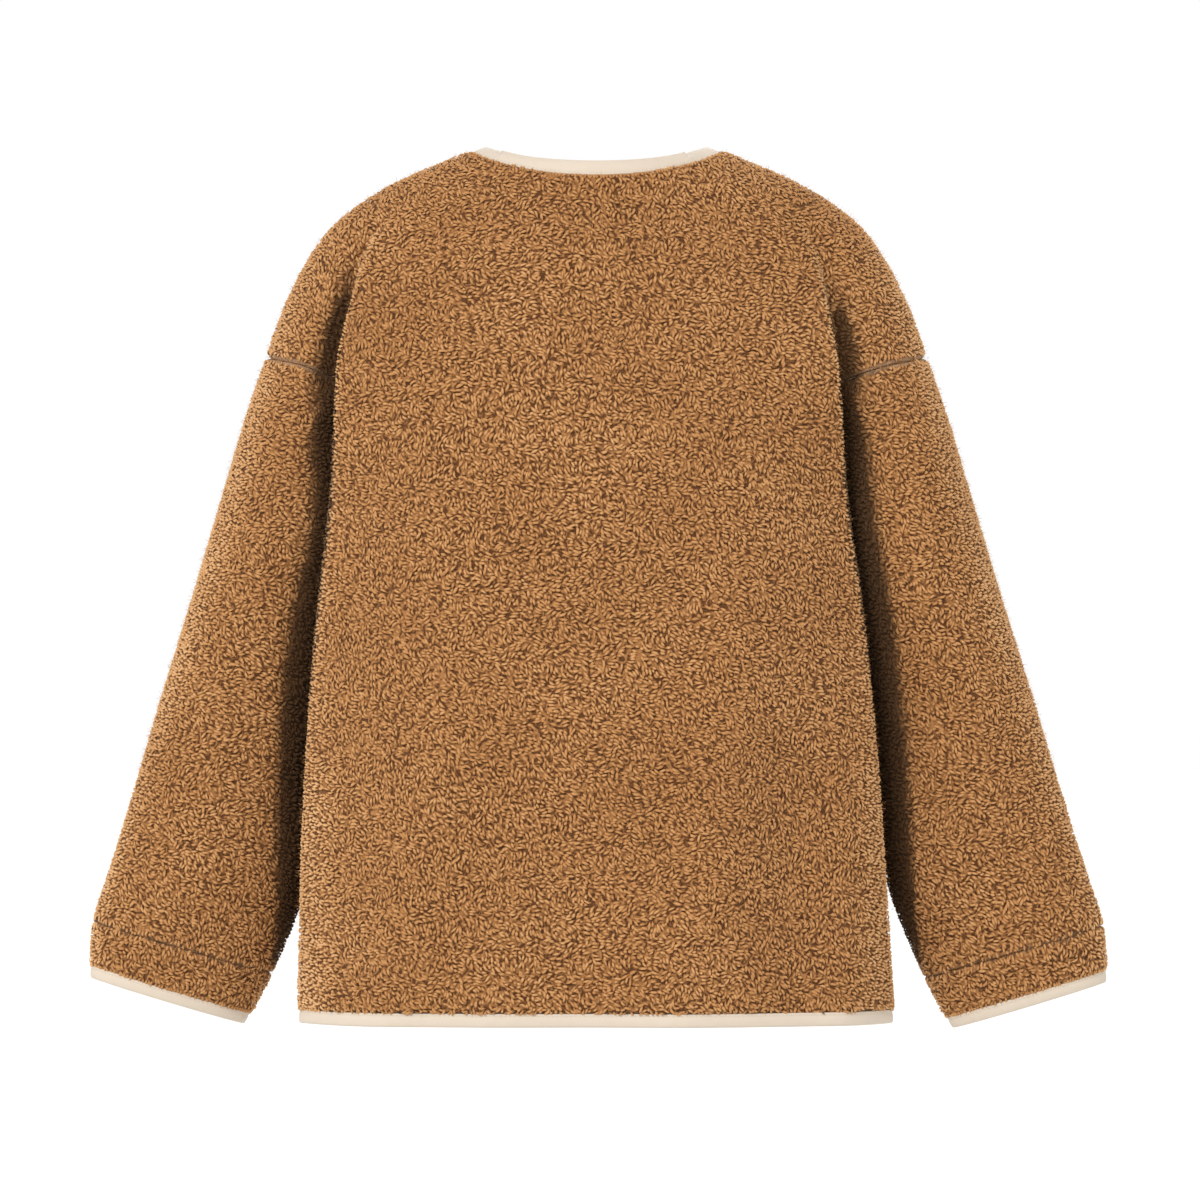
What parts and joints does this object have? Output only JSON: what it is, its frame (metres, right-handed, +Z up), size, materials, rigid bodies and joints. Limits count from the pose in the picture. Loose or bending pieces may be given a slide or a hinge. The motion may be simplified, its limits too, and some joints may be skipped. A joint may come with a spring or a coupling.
{
  "type": "cardigan",
  "caption": "Collarless drop-shoulder cardigan in tan curly pile fleece with cream bound neck, fronts, hem and cuffs, filled out as worn.",
  "frame": {"origin": "middle of the neck base, level with the high points of the shoulders, where the wearer's neck and shoulders hold it", "axes": "+X towards the wearer's left, +Y towards the wearer's back, +Z up"},
  "size_m": [0.7994, 0.2477, 0.689],
  "materials": {
    "pile_fleece": "matt",
    "cream_binding": "matt"
  },
  "bodies": {
    "root": {"back": "pile_fleece", "left_front": "pile_fleece", "right_front": "pile_fleece", "left_sleeve": "pile_fleece", "right_sleeve": "pile_fleece", "left_cuff": "pile_fleece", "right_cuff": "pile_fleece", "neck_binding": "cream_binding", "hem_binding": "cream_binding", "left_front_binding": "cream_binding", "right_front_binding": "cream_binding", "left_cuff_binding": "cream_binding", "right_cuff_binding": "cream_binding"}
  },
  "joints": []
}
